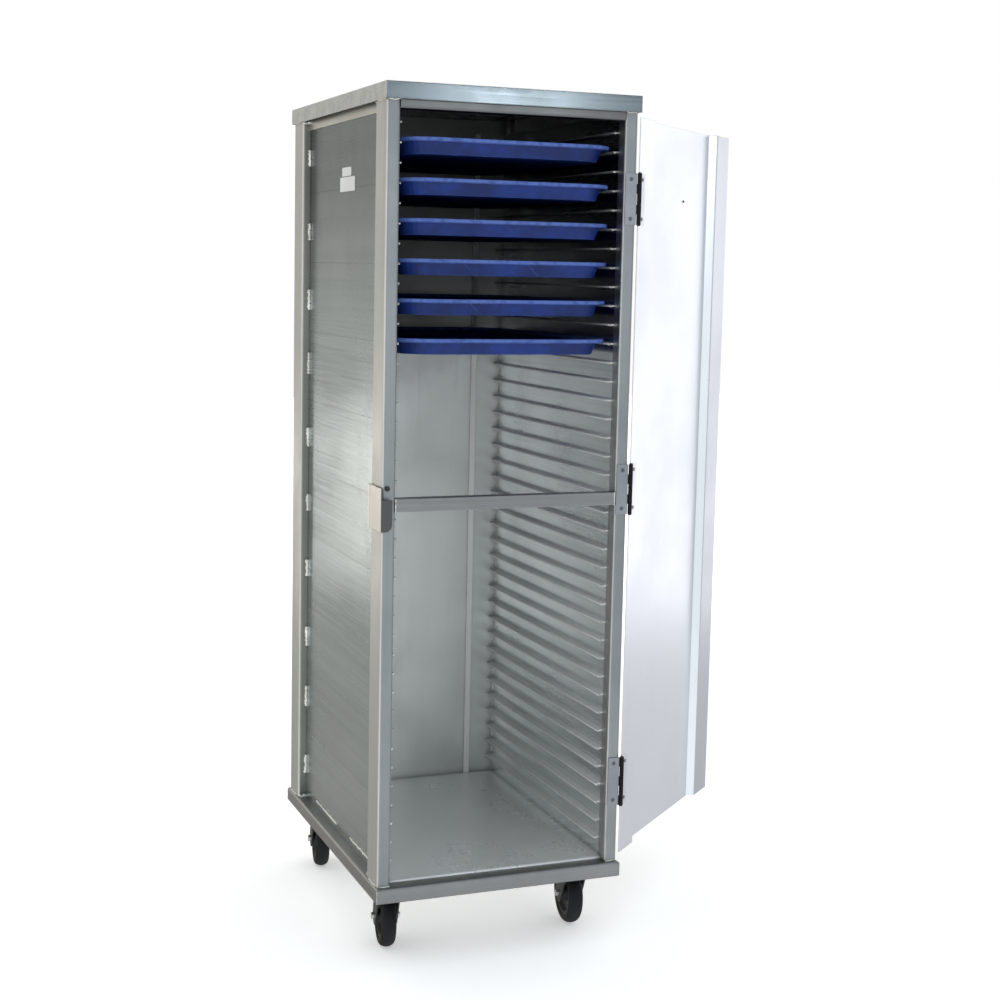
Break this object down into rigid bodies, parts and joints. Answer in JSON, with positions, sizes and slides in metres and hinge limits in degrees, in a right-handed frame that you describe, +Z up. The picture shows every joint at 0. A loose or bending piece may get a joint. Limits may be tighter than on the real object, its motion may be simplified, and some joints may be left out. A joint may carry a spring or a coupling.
{
  "type": "insulated food carrier",
  "caption": "Tall enclosed rolling food carrier with a hinged full-height door, close-spaced pan ledges, pull-out trays and swivel casters.",
  "frame": {"origin": "on the floor, under the middle of the cabinet body (midway between the side walls and between the front and rear edges of the base)", "axes": "+Z up, -Y towards the front (the door opening), +X to the right seen from the front (the hinge side)"},
  "size_m": [0.9275, 0.6977, 1.735],
  "materials": {
    "frame_aluminium": "mill finish, satin, with fine grain along each piece",
    "extruded_aluminium": "mill finish extrusion, satin with soft streaks",
    "door_aluminium": "bright satin sheet",
    "inside_aluminium": "dull satin sheet",
    "tray_plastic": "moulded, slightly glossy",
    "tyre_rubber": "matt rubber tread",
    "hub_plastic": "dull moulded wheel core",
    "caster_steel": "black coating, semi-gloss",
    "bumper_rubber": "matt",
    "hinge_steel": "satin, darker in the knuckles",
    "latch_steel": "satin, worn bright on the flap",
    "zinc_steel": "zinc plated"
  },
  "bodies": {
    "cabinet": {"base_front_rail": "frame_aluminium", "base_rear_rail": "frame_aluminium", "base_left_rail": "frame_aluminium", "base_right_rail": "frame_aluminium", "front_caster_channel": "frame_aluminium", "rear_caster_channel": "frame_aluminium", "floor_pan": "inside_aluminium", "front_left_post": "frame_aluminium", "front_right_post": "frame_aluminium", "rear_left_post": "frame_aluminium", "rear_right_post": "frame_aluminium", "lid": "frame_aluminium", "front_header": "frame_aluminium", "rear_top_rail": "frame_aluminium", "left_top_rail": "frame_aluminium", "right_top_rail": "frame_aluminium", "middle_bar": "frame_aluminium", "left_wall_planks": "extruded_aluminium", "right_wall_planks": "extruded_aluminium", "left_ledges": "extruded_aluminium", "right_ledges": "extruded_aluminium", "back_panel": "inside_aluminium", "back_batten": "inside_aluminium", "hinge_frame_leaves": "hinge_steel", "hinge_pins": "hinge_steel", "hinge_frame_screws": "hinge_steel", "latch_bracket": "latch_steel", "latch_pin": "latch_steel", "door_bumper": "bumper_rubber", "caster_bolts": "zinc_steel", "front_left_caster_plate": "caster_steel", "front_right_caster_plate": "caster_steel", "rear_left_caster_plate": "caster_steel", "rear_right_caster_plate": "caster_steel"},
    "door": {"door_sheet": "door_aluminium", "hinge_door_leaves": "hinge_steel", "hinge_door_screws": "hinge_steel"},
    "latch": {"latch_hook": "latch_steel"},
    "front_left_swivel": {"front_left_fork": "caster_steel", "front_left_axle": "zinc_steel"},
    "front_left_wheel": {"front_left_tyre": "tyre_rubber", "front_left_hub": "hub_plastic"},
    "front_right_swivel": {"front_right_fork": "caster_steel", "front_right_axle": "zinc_steel"},
    "front_right_wheel": {"front_right_tyre": "tyre_rubber", "front_right_hub": "hub_plastic"},
    "rear_left_swivel": {"rear_left_fork": "caster_steel", "rear_left_axle": "zinc_steel"},
    "rear_left_wheel": {"rear_left_tyre": "tyre_rubber", "rear_left_hub": "hub_plastic"},
    "rear_right_swivel": {"rear_right_fork": "caster_steel", "rear_right_axle": "zinc_steel"},
    "rear_right_wheel": {"rear_right_tyre": "tyre_rubber", "rear_right_hub": "hub_plastic"},
    "tray_1": {"tray_1": "tray_plastic"},
    "tray_2": {"tray_2": "tray_plastic"},
    "tray_3": {"tray_3": "tray_plastic"},
    "tray_4": {"tray_4": "tray_plastic"},
    "tray_5": {"tray_5": "tray_plastic"},
    "tray_6": {"tray_6": "tray_plastic"}
  },
  "joints": [
    {"name": "door_hinge", "type": "hinge", "parent": "cabinet", "child": "door", "pos_m": [0.266, -0.3398, 0.9], "axis": [0, 0, 1], "range_deg": [-221.4, 48.6]},
    {"name": "latch_swing", "type": "hinge", "parent": "cabinet", "child": "latch", "pos_m": [-0.2642, -0.268, 0.927], "axis": [0, 0, -1], "range_deg": [0, 100]},
    {"name": "front_left_swivel_turn", "type": "hinge", "parent": "cabinet", "child": "front_left_swivel", "pos_m": [-0.2076, -0.2479, 0.14], "axis": [0, 0, 1], "continuous": true},
    {"name": "front_left_wheel_roll", "type": "hinge", "parent": "front_left_swivel", "child": "front_left_wheel", "pos_m": [-0.20118, -0.20953, 0.0635], "axis": [0.9863, -0.165, 0], "continuous": true},
    {"name": "front_right_swivel_turn", "type": "hinge", "parent": "cabinet", "child": "front_right_swivel", "pos_m": [0.2076, -0.2479, 0.14], "axis": [0, 0, 1], "continuous": true},
    {"name": "front_right_wheel_roll", "type": "hinge", "parent": "front_right_swivel", "child": "front_right_wheel", "pos_m": [0.21234, -0.20929, 0.0635], "axis": [0.9925, -0.1219, 0], "continuous": true},
    {"name": "rear_left_swivel_turn", "type": "hinge", "parent": "cabinet", "child": "rear_left_swivel", "pos_m": [-0.2076, 0.2479, 0.14], "axis": [0, 0, 1], "continuous": true},
    {"name": "rear_left_wheel_roll", "type": "hinge", "parent": "rear_left_swivel", "child": "rear_left_wheel", "pos_m": [-0.20085, 0.28621, 0.0635], "axis": [0.9848, -0.1736, 0], "continuous": true},
    {"name": "rear_right_swivel_turn", "type": "hinge", "parent": "cabinet", "child": "rear_right_swivel", "pos_m": [0.2076, 0.2479, 0.14], "axis": [0, 0, 1], "continuous": true},
    {"name": "rear_right_wheel_roll", "type": "hinge", "parent": "rear_right_swivel", "child": "rear_right_wheel", "pos_m": [0.21301, 0.28642, 0.0635], "axis": [0.9903, -0.1392, 0], "continuous": true},
    {"name": "tray_1_slide", "type": "slide", "parent": "cabinet", "child": "tray_1", "axis": [0, -1, 0], "range_m": [0, 0.6]},
    {"name": "tray_2_slide", "type": "slide", "parent": "cabinet", "child": "tray_2", "axis": [0, -1, 0], "range_m": [0, 0.6]},
    {"name": "tray_3_slide", "type": "slide", "parent": "cabinet", "child": "tray_3", "axis": [0, -1, 0], "range_m": [0, 0.6]},
    {"name": "tray_4_slide", "type": "slide", "parent": "cabinet", "child": "tray_4", "axis": [0, -1, 0], "range_m": [0, 0.6]},
    {"name": "tray_5_slide", "type": "slide", "parent": "cabinet", "child": "tray_5", "axis": [0, -1, 0], "range_m": [0, 0.6]},
    {"name": "tray_6_slide", "type": "slide", "parent": "cabinet", "child": "tray_6", "axis": [0, -1, 0], "range_m": [0, 0.6]}
  ]
}
